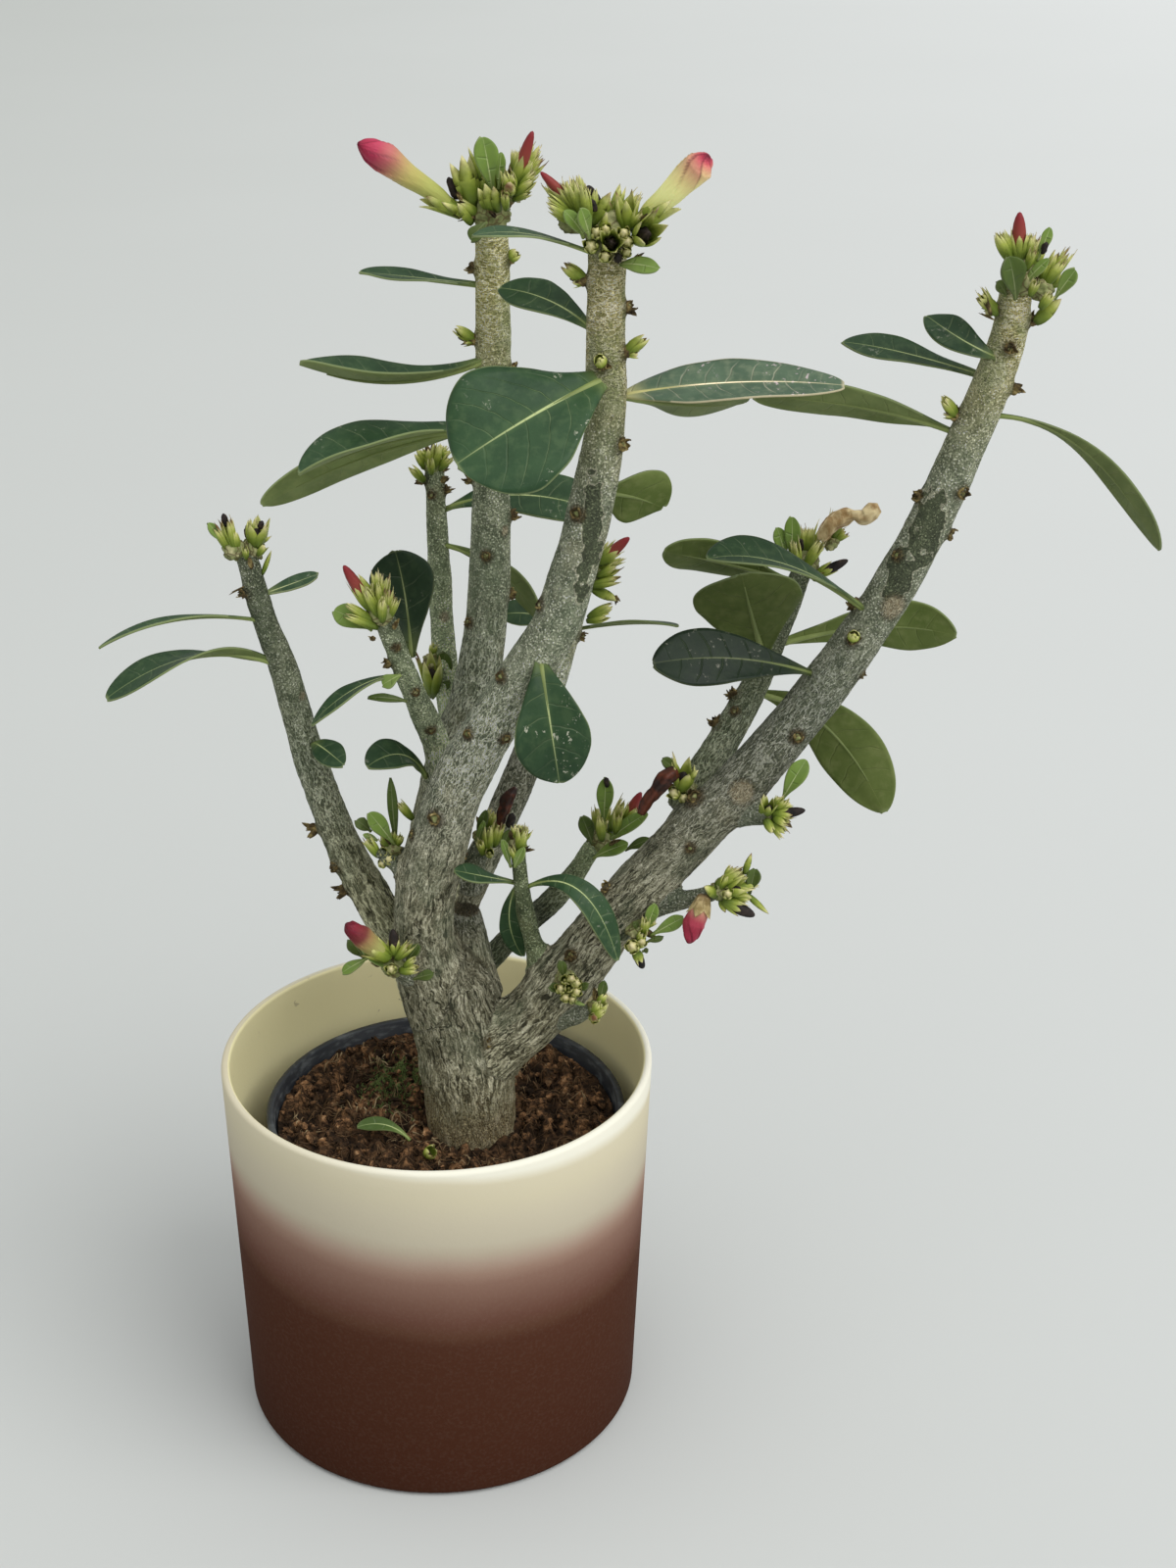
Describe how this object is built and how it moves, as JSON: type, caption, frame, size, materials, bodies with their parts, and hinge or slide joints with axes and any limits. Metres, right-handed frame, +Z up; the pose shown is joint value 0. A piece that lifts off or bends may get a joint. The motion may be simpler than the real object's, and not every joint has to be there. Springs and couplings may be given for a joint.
{
  "type": "potted desert rose",
  "caption": "Branching desert rose with waxy leaves, flower heads and pink buds, in a nursery pot of soil set inside a round two-tone cachepot.",
  "frame": {"origin": "centre of the cachepot's underside, on the surface it stands on", "axes": "+Z up, +X to the picture's right, -Y towards the picture's viewer"},
  "size_m": [0.3099, 0.14, 0.4215],
  "materials": {
    "cachepot": "matte, cream rim blending to red-brown",
    "nursery_pot": "matte",
    "soil": "moist peat and coir",
    "bark": "grey-green wrinkled bark",
    "leaf": "waxy dark green with a pale midrib",
    "flower_head": "yellow-green sepals and young leaves",
    "flower_bud": "satin, magenta tip to cream base"
  },
  "bodies": {
    "root": {"cachepot": "cachepot", "nursery_pot": "nursery_pot", "soil": "soil", "stem": "bark", "bud_back": "flower_bud", "bud_base_left": "flower_bud", "bud_low_right": "flower_bud", "bud_main": "flower_bud", "cluster_base_left": "flower_head", "cluster_base_right": "flower_head", "cluster_elbow": "flower_head", "cluster_front": "flower_head", "cluster_gap": "flower_head", "cluster_low_right": "flower_head", "cluster_rear_mid": "flower_head", "cluster_right": "flower_head", "cluster_slim_foot": "flower_head", "cluster_upper_foot": "flower_head", "head_back": "flower_head", "head_fork": "flower_head", "head_left": "flower_head", "head_low": "flower_head", "head_main": "flower_head", "head_rear": "flower_head", "head_right": "flower_head", "head_slim": "flower_head", "head_twig": "flower_head", "head_upper": "flower_head", "leaf_back_1": "leaf", "leaf_back_2": "leaf", "leaf_back_3": "leaf", "leaf_back_4": "leaf", "leaf_back_5": "leaf", "leaf_fork_1": "leaf", "leaf_fork_2": "leaf", "leaf_left_1": "leaf", "leaf_left_2": "leaf", "leaf_left_3": "leaf", "leaf_left_4": "leaf", "leaf_main_1": "leaf", "leaf_main_2": "leaf", "leaf_main_3": "leaf", "leaf_main_5": "leaf", "leaf_main_6": "leaf", "leaf_right_1": "leaf", "leaf_right_2": "leaf", "leaf_right_3": "leaf", "leaf_right_4": "leaf", "leaf_right_5": "leaf", "leaf_right_6": "leaf", "leaf_slim_1": "leaf", "leaf_slim_2": "leaf", "leaf_twig_2": "leaf", "leaf_upper_1": "leaf", "leaf_upper_2": "leaf", "leaf_upper_3": "leaf", "leaf_upper_4": "leaf", "leaves_main_4": "leaf", "leaves_rear_1": "leaf", "leaves_twig_1": "leaf"}
  },
  "joints": []
}
